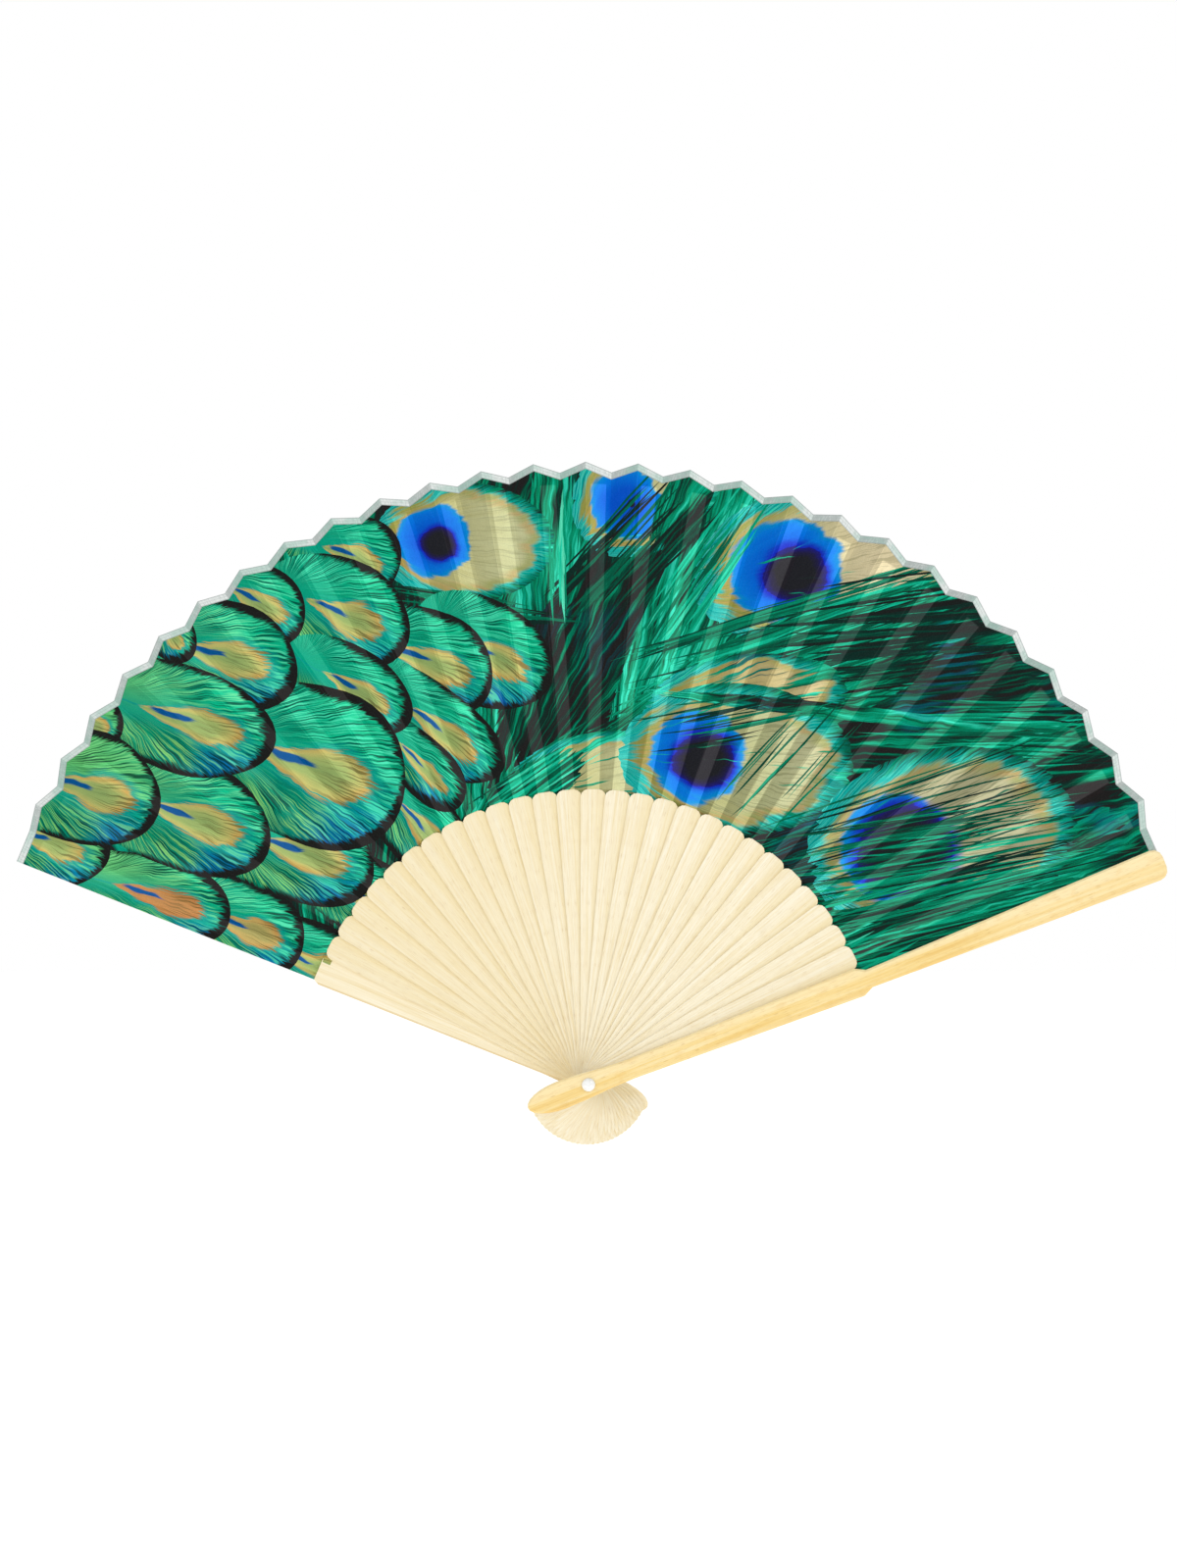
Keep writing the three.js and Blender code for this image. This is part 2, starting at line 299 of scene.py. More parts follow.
GUARD_SKIN = [(0.3, (238, 198, 112)), (0.45, (246, 213, 134)),
              (0.58, (250, 224, 158)), (0.72, (253, 234, 182))]
GUARD_WOOD = [(0.3, (238, 218, 168)), (0.5, (248, 234, 198)), (0.7, (253, 244, 218))]

# Barbs in three sizes: how often they repeat across and along themselves, in a decimetre, and their detail
BARB_GRAINS = ((150.0, 6.0, 1.5), (40.0, 3.5, 2.0), (11.0, 2.5, 2.0))
BARB_ROOT = 0.1  # the barbs fan out from a point this share of the length behind the base
FEATHER_SHIFT = 31.0  # moves each feather to barbs of its own
WAVER = 0.026  # how far outlines waver, in decimetres
WAVER_RATE = 9.0
OUTLINE_FADE = (0.0195, 0.0115)  # the dark outline of a body feather starts and is full, in decimetres
THREAD_RATES = (260.0, 22.0)  # across and along a thread
THREAD_BUMP = 0.00006

# Where the materials draw the slips and the sticks, in decimetres; across a panel times PANEL_ZOOM
SLIP_EDGE = (0.146, 0.118)
SLIP_FLARE = 0.0584
SLIP_TIP = (1.858, 1.852)
WAIST_END = 0.14
RIB_WAIST_HALF = 0.027
RIB_FLARE = 0.0162
RIB_SHOULDER_HALF = 0.0395
GUARD_WAIST_HALF = 0.033
GUARD_FLARE = 0.024
GUARD_BLADE_HALF = 0.051
GUARD_SKIN_ENDS = (0.1075, 0.1045)  # from the fan's middle, where the skin gives way to bare wood


def scale_colour(net, a, b, rim, fine, mid, width, x, warm):
    """A small body feather: barbs fan out round a tan drop with a blue streak, inside a dark outline."""
    side = b * 0.5 + 0.5 + (mid - 0.5) * 0.5
    body = net.ramp(side, BODY)
    body = net.mix(net.step(a, 0.6, 0.15) * 0.7, body, (0, 160, 126))
    lime = net.step(x, -1.15, -1.6) * net.step(b, -0.3, 0.5)
    body = net.mix(lime * 0.6, body, LIME)
    grass = net.step(b, -0.1, -0.5) * net.step(a, 0.75, 0.45)
    body = net.mix(grass * 0.75, body, GRASS)
    pale = net.mix(net.step(x, -0.8, -1.4) * 0.7, MINT_BARB, LIME_BARB)
    pale = net.mix(grass * 0.9, pale, GRASS_BARB)
    shine = net.step(rim, 0.05, 0.6) * (net.step(b, -0.3, 0.6) * 0.35 + 0.6)
    body = net.mix(net.step(fine, 0.52, 0.63) * shine, body, pale)
    body = net.mix(net.step(fine, 0.47, 0.38) * net.step(rim, 0.05, 0.6) * 0.85, body, DEEP_BARB)
    taper = net.math("MINIMUM", net.above((a - 0.1) / 0.44, 0.04), 1.0)
    drop = net.length(net.above((a - 0.56) / 0.25), (b + 0.02) / (taper * 0.33))
    rough = drop + (fine - 0.5) * 0.8
    tan = net.mix(warm, net.ramp(drop + (mid - 0.5) * 0.6, DROP), RUST)
    tan = net.mix(net.step(fine, 0.49, 0.4) * net.step(a, 0.4, 0.7) * 0.7, tan, (92, 88, 46))
    body = net.mix(net.step(rough, 1.4, 1.1) * 0.7, body, (0, 152, 144))
    body = net.mix(net.step(rough, 1.08, 0.92) * net.step(a, 0.1, 0.16), body, tan)
    streak = net.length((a - 0.34) / 0.15, (b - 0.02) / 0.06) + (fine - 0.5) * 0.6
    body = net.mix(net.step(streak, 1.15, 0.75), body, STREAK_BLUE)
    inside = (1.0 - rim) * width - (fine - 0.5) * 0.05
    return net.mix(net.step(inside, *OUTLINE_FADE), body, INK)


def eye_colour(net, kind, a, b, rim, fine, mid, broad, x, barbs, overlay, dark):
    """An eye feather: a dark pupil in a blue disc, in a tan oval with a teal rim, under some barbs.

    A tan feather is one without the disc and the pupil.
    """
    edge = (broad - 0.5) * 0.3 + (mid - 0.5) * 0.12 + (fine - 0.5) * 0.05
    oval = net.length((a - 0.49) / 0.41, b / 0.82) + edge * 1.3
    tan = net.ramp(a + (mid - 0.5) * 0.25, EYE_TAN)
    tan = net.mix(net.step(x, 0.5, 0.95) * 0.7, tan, (226, 206, 170))
    tan = net.mix(net.step(kind, 2.0, 2.8) * net.step(x, 0.15, 0.4) * 0.42, tan, (184, 142, 78))
    tan = net.mix(net.step(fine, 0.47, 0.37) * (dark * 0.8 + 0.1), tan, (112, 112, 72))
    tan = net.mix(net.step(dark, 0.34, 0.5) * 0.5, tan, (104, 122, 88))
    fringe = net.mix(net.step(mid, 0.46, 0.6), (146, 152, 72), (186, 148, 80))
    tan = net.mix(net.step(oval, 0.8, 0.97) * 0.6, tan, fringe)
    ring = net.ramp(rim + (mid - 0.5) * 0.3, EYE_RING)
    ring = net.mix(net.step(fine, 0.52, 0.62) * 0.5, ring, (110, 222, 196))
    ring = net.mix(net.step(fine, 0.46, 0.38) * 0.6, ring, (0, 84, 72))
    ring = net.mix(net.step(rim + (fine - 0.5) * 0.6, 0.9, 1.0), ring, barbs)
    colour = net.mix(net.step(oval, 1.06, 0.97), ring, tan)
    disc = net.length((a - 0.335) / 0.2, b / 0.6) + edge
    with_disc = net.step(kind, 2.0, 1.6)
    colour = net.mix(net.step(disc, 1.06, 0.96) * with_disc, colour, net.ramp(disc, EYE_BLUE))
    pupil = net.length((a - 0.365) / 0.115, (b + 0.04) / 0.33) / (dark * 1.25 + 0.62) + edge
    colour = net.mix(net.step(pupil, 1.28, 0.98) * with_disc, colour, net.ramp(pupil, PUPIL))
    return net.mix(net.step(mid + overlay * 0.5, 0.72, 0.8) * net.step(overlay, 0.02, 0.1), colour, barbs)


def barb_colour(net, x, z, fine, mid, broad, dark):
    """Long barbs from black over emerald to mint."""
    cloud = net.noise(x * 2.4 + 3.1, z * 2.4 + 1.7, detail=1.0)
    level = (mid - 0.5) * 1.3 + (broad - 0.5) * 1.1 + (fine - 0.5) * 0.6 + (cloud - 0.5) * 0.7
    colour = net.ramp(level + 0.52 - dark * 0.42, LONG_BARBS)
    hint = net.noise(x * 3.3 + 7.0, z * 3.3 + 2.0, detail=1.0)
    hint = net.step(hint, 0.56, 0.7) * (net.step(x, 0.2, 0.9) * 0.24 + 0.1)
    return net.mix(hint * net.step(mid, 0.42, 0.58), colour, (0, 116, 150))


def strand_colour(net, tone, fine):
    """A single barb, all of one colour from black over emerald to mint."""
    return net.ramp(tone + (fine - 0.5) * 0.3, SINGLE_BARB)


def print_colour(net):
    """The printed leaf, from the feather that each face belongs to and its place in that feather."""
    a, b = net.uv("feather")
    x, z = net.uv("flat")
    kind, tone, dark = net.attribute("feather_look")
    length, width, overlay = net.attribute("feather_size")
    wx, wz = x * WAVER_RATE, z * WAVER_RATE
    a = a + (net.noise(wx, wz) - 0.5) * WAVER / length
    b = b + (net.noise(wx + 5.0, wz + 9.0) - 0.5) * WAVER / width
    along, across = (a + BARB_ROOT) * length, b * width
    reach = net.length(along, across)
    turn = net.math("ARCTAN2", across, along) * length
    seed = tone * FEATHER_SHIFT
    fine, mid, broad = [net.noise(turn * often + seed, reach * along_often + seed, detail=detail)
                        for often, along_often, detail in BARB_GRAINS]
    rim = net.length(net.above((a - 0.5) / 0.5), b)
    barbs = barb_colour(net, x, z, fine, mid, broad, dark)
    scale = scale_colour(net, a, b, rim, fine, mid, width, x, dark)
    eye = eye_colour(net, kind, a, b, rim, fine, mid, broad, x, barbs, overlay, dark)
    colour = net.mix(net.math("LESS_THAN", kind, 0.5), eye, scale)
    colour = net.mix(net.math("GREATER_THAN", kind, 3.5), colour, barbs)
    return net.mix(net.math("GREATER_THAN", kind, 4.5), colour, strand_colour(net, tone, fine))


def pleated_colour(net, colour):
    """The print with painted light where the slips show through the cloth, painted shade on the free panels,
    a painted highlight along each mountain fold, and the threads of the cloth.
    """
    side, out = net.uv("panel")
    x, z = net.uv("flat")
    glued = net.attribute("glued")[0]
    from_middle = net.math("ABSOLUTE", side - out * (PANEL_ZOOM * FOLD))
    # Painted light: the glued panels are lighter where the slips lie behind the cloth, for the light that
    # the slips throw back through it. pale is this lit colour, and the painted light is stronger towards the
    # right, where the light comes from.
    lit_slip_band = net.step(from_middle - out * SLIP_FLARE, *SLIP_EDGE) * glued * net.step(out, *SLIP_TIP)
    pale = net.gain(colour, 1.45, 0.03)
    colour = net.mix(lit_slip_band * (net.step(x, -1.3, 0.7) * 0.45 + 0.4), colour, pale)
    # Painted shade: the free panels, which face away from the light, are darker.
    colour = net.mix((1.0 - glued) * 0.12, colour, (0, 34, 30))
    # Painted highlight: a thin lighter line along each mountain fold, where the fold catches the light.
    fold_highlight = net.step(net.math("ABSOLUTE", side), 0.03, 0.006) * glued
    colour = net.mix(fold_highlight * 0.3, colour, pale)
    across, along = THREAD_RATES
    threads = net.noise(side * across, out * along, detail=0.0)
    threads = threads + net.noise(side * along, out * across, detail=0.0)
    return net.mix(threads * 0.5 - 0.42, colour, net.gain(colour, 1.25, 0.02)), threads


def leaf_front():
    """The print with the painted light and shade of the pleats, with next to no shine."""
    net = Net("leaf_print_and_painted_light")
    colour, threads = pleated_colour(net, print_colour(net))
    net.bump(threads, THREAD_BUMP)
    return net.finish(colour, 0.72, Specular_IOR_Level=0.02)


def leaf_back():
    """The print shows paler from behind, because the cloth is printed on one side."""
    net = Net("leaf_back")
    colour, threads = pleated_colour(net, print_colour(net))
    colour = net.mix(0.42, colour, (214, 222, 214))
    net.bump(threads, THREAD_BUMP)
    return net.finish(colour, 0.8, Specular_IOR_Level=0.06)


def binding_tape():
    """A thin pale tape with a darker line along both edges, tinted by the print under it."""
    net = Net("leaf_binding")
    across, _ = net.uv("feather")
    side, out = net.uv("panel")
    x, z = net.uv("flat")
    glued = net.attribute("glued")[0]
    fibres = net.noise(side * 26.0, out * 60.0, detail=2.0)
    # Painted light: the tape is paler on the glued panels, which face the light.
    colour = net.ramp(fibres * 0.6 + glued * 0.3 + 0.05, TAPE)
    tint = net.noise(x * 9.0, z * 9.0, detail=2.0)
    colour = net.mix(net.step(tint, 0.38, 0.62) * 0.4, colour, (116, 184, 162))
    lines = net.step(across, 0.16, 0.08) + net.step(across, 0.84, 0.92)
    lines = lines + net.step(net.math("ABSOLUTE", across - 0.5), 0.07, 0.02) * 0.5
    colour = net.mix(lines * 0.7, colour, (158, 164, 162))
    net.bump(lines * 0.5 + fibres, 0.00005)
    return net.finish(colour, 0.4, Specular_IOR_Level=0.4)


def bamboo_place(net):
    """The place on a stick, along and across it, in decimetres, whichever way the stick points."""
    turned = net.node("VectorRotate", rotation_type="Y_AXIS")
    net.tree.links.new(net.node("TexCoord").outputs["Object"], turned.inputs["Vector"])
    angle = net.node("Attribute", attribute_type="OBJECT", attribute_name="stick_angle")
    net.tree.links.new(angle.outputs["Fac"], turned.inputs["Angle"])
    along, depth, across = net.split(turned.outputs[0])
    number = net.node("Attribute", attribute_type="OBJECT", attribute_name="stick_number")
    return along * 10.0, depth * 10.0, across * 10.0, Value(net, number.outputs["Fac"])


def rib_bamboo():
    """Pale planed bamboo, with painted shade along the edge that the next rib overlaps and on the ribs
    towards the rear guard.
    """
    net = Net("rib_bamboo_grain_and_painted_shade")
    along, depth, across, number = bamboo_place(net)
    half = net.above((along - WAIST_END) * RIB_FLARE + RIB_WAIST_HALF, RIB_WAIST_HALF)
    share = across / net.math("MINIMUM", half, RIB_SHOULDER_HALF)
    fibres = net.noise(across * 900.0 + number * 7.3, along * 9.0 + depth * 300.0,
                       detail=3.0, roughness=0.6)
    bands = net.noise(across * 160.0 + number * 3.1, along * 3.0 + number, detail=1.0)
    colour = net.ramp(fibres * 0.55 + bands * 0.45, RIB_WOOD)
    past_rivet = net.step(along, -0.05, 0.1)
    # Painted shade: darker towards the edge that the next rib overlaps, for its shadow there.
    colour = net.mix(net.step(share, 0.35, -1.0) * past_rivet * 0.6, colour, (243, 224, 170))
    # Painted shade: the ribs towards the rear guard, on the left, are darker, as the light comes from the
    # right.
    colour = net.mix(net.step(number, 16.0, 5.0) * past_rivet * 0.4, colour, (238, 218, 164))
    flecks = net.noise(across * 700.0 + number * 11.0, along * 26.0, detail=0.0)
    colour = net.mix(net.step(flecks, 0.74, 0.82) * 0.35, colour, (206, 172, 112))
    grey = net.noise(across * 40.0 + number * 5.0, along * 12.0, detail=2.0)
    colour = net.mix(net.step(grey, 0.56, 0.72) * 0.18, colour, (232, 214, 176))
    net.bump(fibres, 0.00004)
    return net.finish(colour, 0.5, Specular_IOR_Level=0.4)


def guard_bamboo():
    """Golden bamboo skin outside, and bare pale wood on the inner faces, with a painted highlight towards
    the inner edge and painted shade along the outer edge.
    """
    net = Net("guard_bamboo_skin_painted_highlight_and_shade")
    along, depth, across, number = bamboo_place(net)
    fibres = net.noise(across * 420.0 + number * 3.0, along * 4.0 + depth * 120.0,
                       detail=3.0, roughness=0.6)
    bands = net.noise(across * 70.0 + number, along * 2.2, detail=2.0)
    colour = net.ramp(fibres * 0.35 + bands * 0.65, GUARD_SKIN)
    inward = across * net.step(depth, 0.0, -0.01) - across * net.step(depth, 0.0, 0.01)
    # Painted highlight: the blade is paler over the half towards its inner edge, where its bevel and side
    # catch the light.
    colour = net.mix(net.step(inward, 0.004, 0.014) * 0.6, colour, (254, 236, 188))
    colour = net.mix(net.step(along, 1.1, 1.6) * 0.3, colour, (254, 236, 190))
    # Painted shade: darker along the outer edge, for the shaded bevel there.
    edge = net.step(inward, -0.022, -0.04)
    colour = net.mix(edge * 0.3, colour, (236, 192, 108))
    mottle = net.noise(across * 30.0 + 4.0, along * 16.0, detail=3.0)
    colour = net.mix(net.step(mottle, 0.55, 0.75) * 0.25, colour, (233, 186, 98))
    pores = net.noise(across * 600.0, along * 30.0, detail=0.0)
    colour = net.mix(net.step(pores, 0.72, 0.8) * 0.35, colour, (196, 148, 74))
    wood = net.step(net.math("ABSOLUTE", depth), *GUARD_SKIN_ENDS)
    half = (along - WAIST_END) * GUARD_FLARE + GUARD_WAIST_HALF
    margin = net.math("MINIMUM", half, GUARD_BLADE_HALF) + inward
    pale = net.ramp(fibres * 0.6 + bands * 0.4, GUARD_WOOD)
    pale = net.mix(net.step(margin, 0.008, 0.003) * 0.6, pale, (222, 190, 126))
    colour = net.mix(wood, colour, pale)
    net.bump(fibres + bands, 0.00005)
    return net.finish(colour, wood * 0.25 + 0.3, Specular_IOR_Level=0.5)


def rivet_plastic():
    net = Net("rivet_white")
    place = net.split(net.node("TexCoord").outputs["Object"])
    cloud = net.noise(place[0] * 900.0, place[2] * 900.0, detail=2.0)
    colour = net.ramp(cloud, [(0.3, (236, 236, 232)), (0.6, (250, 250, 248))])
    net.bump(cloud, 0.00002)
    return net.finish(colour, 0.25, Specular_IOR_Level=0.5, Coat_Weight=0.3, Coat_Roughness=0.1)


def floor_paint():
    net = Net("floor_white")
    place = net.split(net.node("TexCoord").outputs["Object"])
    cloud = net.noise(place[0] * 3.0, place[1] * 3.0, detail=2.0)
    colour = net.ramp(cloud, [(0.3, (252, 252, 252)), (0.7, (255, 255, 255))])
    return net.finish(colour, 0.9, Specular_IOR_Level=0.1, Emission_Color=(1, 1, 1, 1),
                      Emission_Strength=0.35)


# The print's layout: feathers in the order of painting, each from its base to its tip on the open leaf

SCALE, EYE, TAN, BARBS, STRAND = 0.0, 1.0, 3.0, 4.0, 5.0  # kinds, which print_colour tells apart
SEED = 11
TOOTHED_POINTS = 110
ROUND_POINTS = 40
SCALE_ROOT = 0.3  # how far a body feather reaches back behind its base, in lengths


def feather_outline(length, width, root, jag, rng):
    """Points of a feather's edge, along and across its axis. jag is the depth of its teeth."""
    points = []
    count = TOOTHED_POINTS if jag else ROUND_POINTS
    phase = rng.uniform(0, 2 * math.pi)
    for i in range(count):
        turn = 2 * math.pi * i / count
        tooth = 1 - jag * (rng.random() if i % 2 else rng.random() * 0.25)
        swell = 1.0 if jag else 1.02 + 0.045 * math.sin(3 * turn + phase)
        reach = 0.5 if math.cos(turn) > 0 else 0.5 + root
        along = 0.5 + reach * math.cos(turn) * tooth * swell
        points.append((along * length, math.sin(turn) * swell * width))
    return points


def strand_outline(length, width, rng):
    """Points of one bent barb."""
    bend = rng.uniform(-0.03, 0.03) * length
    stations = [(0.0, 0.0), (0.2, 0.8), (0.5, 1.0), (0.8, 0.7), (1.0, 0.0)]
    lower = [(u * length, bend * 4 * u * (1 - u) - v * width) for u, v in stations]
    upper = [(u * length, bend * 4 * u * (1 - u) + v * width) for u, v in stations[1:-1]]
    return lower + upper[::-1]


# Feathers in photograph pixels: kind, base, tip, half width, darkness (how rusty, for a body feather),
# share of barbs over it and jaggedness
GROUND = [
    (BARBS, 380, 1190, 900, 300, 640, 0.45, 0, 0.0),
    (BARBS, 500, 960, 740, 430, 120, 0.35, 0, 0.3),
    (BARBS, 548, 880, 566, 430, 34, -0.3, 0, 0.3),
    (BARBS, 510, 830, 700, 500, 66, 0.85, 0, 0.35),
    (BARBS, 620, 860, 790, 450, 56, -0.05, 0, 0.35),
    (BARBS, 640, 960, 1160, 700, 150, 0.7, 0, 0.3),
    (BARBS, 700, 900, 1180, 780, 110, 0.5, 0, 0.3),
    (BARBS, 800, 1010, 1190, 850, 80, 0.3, 0, 0.3),
]
UPPER = [
    (EYE, 592, 548, 730, 440, 64, -0.35, 0.1, 0.1),
    (BARBS, 668, 566, 728, 456, 24, 0.5, 0, 0.35),
    (EYE, 706, 600, 992, 545, 86, 0.3, 0.1, 0.06),
    (BARBS, 560, 800, 1100, 600, 76, 0.15, 0, 0.3),
    (BARBS, 640, 760, 1130, 690, 62, 0.75, 0, 0.35),
    (BARBS, 600, 790, 980, 650, 40, 0.0, 0, 0.35),
]
LOWER = [
    (TAN, 658, 722, 866, 700, 44, 0.2, 0.35, 0.1),
    (TAN, 512, 812, 690, 772, 44, 0.2, 0.3, 0.1),
    (BARBS, 460, 880, 596, 762, 30, 0.15, 0, 0.35),
    (EYE, 630, 768, 872, 780, 78, 0.42, 0.1, 0.06),
    (BARBS, 655, 704, 1030, 744, 8, 0.1, 0, 0.3),
    (EYE, 822, 886, 1100, 828, 94, 0.72, 0.12, 0.1),
    (BARBS, 770, 976, 1150, 906, 34, 0.35, 0, 0.4),
    (BARBS, 790, 995, 1180, 905, 40, 0.3, 0, 0.4),
]
LEFT = [
    (EYE, 378, 549, 566, 553, 61, 0.2, 0.0, 0.06),
    (SCALE, 452, 640, 556, 700, 52, 0, 0, 0.0),
    (SCALE, 378, 650, 500, 700, 50, 0, 0, 0.0),
    (SCALE, 326, 890, 424, 950, 40, 0, 0, 0.0),
    (SCALE, 392, 800, 474, 900, 38, 0, 0, 0.0),
    (SCALE, 396, 704, 506, 790, 40, 0, 0, 0.0),
    (SCALE, 392, 744, 470, 822, 28, 0, 0, 0.0),
    (SCALE, 316, 548, 404, 586, 44, 0, 0, 0.0),
    (SCALE, 296, 604, 412, 652, 54, 0, 0, 0.0),
    (SCALE, 314, 676, 414, 734, 40, 0, 0, 0.0),
    (SCALE, 256, 960, 380, 1010, 40, 0, 0, 0.0),
    (SCALE, 196, 926, 306, 972, 44, 0.3, 0, 0.0),
    (SCALE, 240, 848, 378, 894, 52, 0, 0, 0.0),
    (SCALE, 234, 752, 410, 816, 80, 0, 0, 0.0),
    (SCALE, 218, 588, 306, 640, 38, 0, 0, 0.0),
    (SCALE, 158, 650, 300, 688, 54, 0, 0, 0.0),
    (SCALE, 150, 628, 192, 668, 24, 0, 0, 0.0),
    (SCALE, 92, 896, 232, 940, 40, 0.7, 0, 0.0),
    (SCALE, 124, 812, 270, 862, 56, 0, 0, 0.0),
    (SCALE, 122, 712, 272, 762, 54, 0, 0, 0.0),
    (SCALE, 60, 728, 118, 748, 34, 0, 0, 0.0),
    (SCALE, -10, 836, 102, 882, 44, 0, 0, 0.0),
    (SCALE, 26, 790, 156, 822, 58, 0, 0, 0.0),
]
# Bundles of single barbs: start, end, half spread, count, half width, darkest and palest tone
UPPER_STRANDS = [
    (566, 640, 706, 492, 38, 44, 1.9, 0.0, 0.5),
    (640, 690, 770, 500, 30, 24, 1.8, 0.4, 0.95),
    (660, 700, 1000, 596, 40, 80, 1.9, 0.25, 0.85),
    (800, 660, 1090, 630, 60, 50, 2.3, 0.0, 0.34),
    (900, 748, 1150, 752, 36, 50, 1.6, 0.2, 0.9),
]
LOWER_STRANDS = [
    (650, 750, 870, 706, 22, 14, 1.5, 0.05, 0.6),
    (478, 842, 596, 764, 28, 30, 1.9, 0.3, 0.95),
    (740, 850, 860, 720, 36, 12, 1.2, 0.3, 0.6),
    (800, 880, 1090, 790, 46, 28, 1.2, 0.1, 0.55),
    (790, 908, 1120, 852, 50, 62, 1.3, 0.15, 0.75),
    (800, 966, 1150, 880, 38, 60, 1.5, 0.1, 0.8),
    (826, 1004, 960, 944, 30, 22, 1.5, 0.4, 0.95),
]
LEFT_STRANDS = [
    (392, 606, 600, 634, 9, 14, 2.4, 0.1, 0.6),
    (572, 640, 570, 505, 9, 9, 1.6, 0.65, 1.0),
]


def strands(bundles, rng):
    """Rows for the single barbs of the bundles."""
    rows = []
    for x0, y0, x1, y1, spread, count, half, low, high in bundles:
        run = math.hypot(x1 - x0, y1 - y0)
        ux, uy = (x1 - x0) / run, (y1 - y0) / run
        for _ in range(count):
            place = rng.uniform(-spread, spread)
            slide = rng.uniform(-0.25, 0.25) * run
            turn = rng.uniform(-0.05, 0.05)
            reach = run * rng.uniform(0.35, 0.8) / 2
            cx, cy = (x0 + x1) / 2 + ux * slide - uy * place, (y0 + y1) / 2 + uy * slide + ux * place
            vx, vy = ux - uy * turn, uy + ux * turn
            rows.append((STRAND, cx - vx * reach, cy - vy * reach, cx + vx * reach, cy + vy * reach,
                         half * rng.uniform(0.5, 1.1), rng.uniform(low, high), 0, 0.0))
    return rows


def feathers():
    """The whole print, in the order of painting."""
    rng = random.Random(SEED)
    rows = GROUND + UPPER + strands(UPPER_STRANDS, rng) + LOWER + strands(LOWER_STRANDS, rng) + LEFT[:1]
    rows = rows + strands(LEFT_STRANDS, rng) + LEFT[1:]
    made = []
    for kind, x0, y0, x1, y1, half, dark, overlay, jag in rows:
        base = np.array([(x0 - PIVOT_X), (PIVOT_Y - y0)]) * MM_PER_PIXEL
        tip = np.array([(x1 - PIVOT_X), (PIVOT_Y - y1)]) * MM_PER_PIXEL
        length = float(np.hypot(*(tip - base)))
        axis = (tip - base) / length
        cross = np.array([-axis[1], axis[0]])
        width = half * MM_PER_PIXEL
        if kind == STRAND:
            edge, tone = strand_outline(length, width, rng), dark
        else:
            edge = feather_outline(length, width, SCALE_ROOT if kind == SCALE else 0.0, jag, rng)
            tone = rng.random()
        made.append({"base": base, "axis": axis, "cross": cross, "length": length, "width": width,
                     "look": (kind, tone, dark), "size": (length / DM, width / DM, overlay),
                     "outline": [base + axis * u + cross * v for u, v in edge]})
    return made


# The leaf

def fold_angle(j, r):
    """Of fold j at a distance from the rivet. Panel i lies between the folds i and i + 1.

    The first fold is the leaf's own edge, which runs beside the rear guard.
    """
    if j == 0:
        share = (r - LEAF_START) / (REAR_EDGE_REACH - LEAF_START)
        return stick_angle(0) + math.asin((REAR_EDGE_NEAR + (REAR_EDGE_FAR - REAR_EDGE_NEAR) * share) / r)
    return stick_angle(j // 2) + (FOLD if j % 2 == 0 else -FOLD)


def fold_reach(j):
    """How far from the rivet a fold ends."""
    if j < 2:
        return REAR_EDGE_REACH
    if j >= 2 * LAST:
        return VALLEY
    return MOUNTAIN if j % 2 == 0 else VALLEY


def tilt_at(r):
    return TILT * min(max((r - LEAF_START) / TWIST, 0.0), 1.0)


def fold_depth(j, r):
    """How far back a fold line lies at a distance from the rivet."""
    k = j // 2
    if k == 0:
        return CLOTH_AT_GUARD
    if k == LAST:
        return -CLOTH_AT_GUARD
    middle, tilt = stick_middle(k) - CLOTH_BEFORE_MIDDLE, tilt_at(r)
    if k == RIBS:
        middle -= SLIP_HALF * (math.tan(tilt) - math.tan(min(tilt, LAST_TILT)))
        tilt = min(tilt, LAST_TILT)
    side = 1 if j % 2 == 0 else -1
    return middle - side * r * math.sin(FOLD) * math.tan(tilt)


def tuck_depth(k):
    """How far back the free panel beside a stick starts."""
    return TUCK_AT_GUARD if k == 0 else stick_middle(k) + TUCK_BEHIND_MIDDLE


def panel_stations(i):
    """Distances from the rivet at which a panel is cut across. Even panels are glued, odd ones free."""
    twist = [LEAF_START + TWIST * s / 3 for s in range(4)]
    return [GLUED_START, *twist] if i % 2 == 0 else [TUCK_START, TUCK_TURN, *twist]


def fold_point(j, r):
    angle = fold_angle(j, r)
    return (r * math.cos(angle), r * math.sin(angle))


def leaf_point(i, x, z):
    """Share across panel i from its left fold, and how far back the cloth's middle lies there."""
    r, angle = math.hypot(x, z), math.atan2(z, x)
    left, right = fold_angle(i, r), fold_angle(i + 1, r)
    share = min(max((left - angle) / (left - right), 0.0), 1.0)
    if share < ON_FOLD or share > 1 - ON_FOLD:
        share = round(share)
    depth = (1 - share) * fold_depth(i, r) + share * fold_depth(i + 1, r)
    if i % 2 and r < LEAF_START:
        back = min((LEAF_START - r) / (LEAF_START - TUCK_TURN), 1.0)
        depth += (tuck_depth(i // 2) - depth) * back
    return share, depth


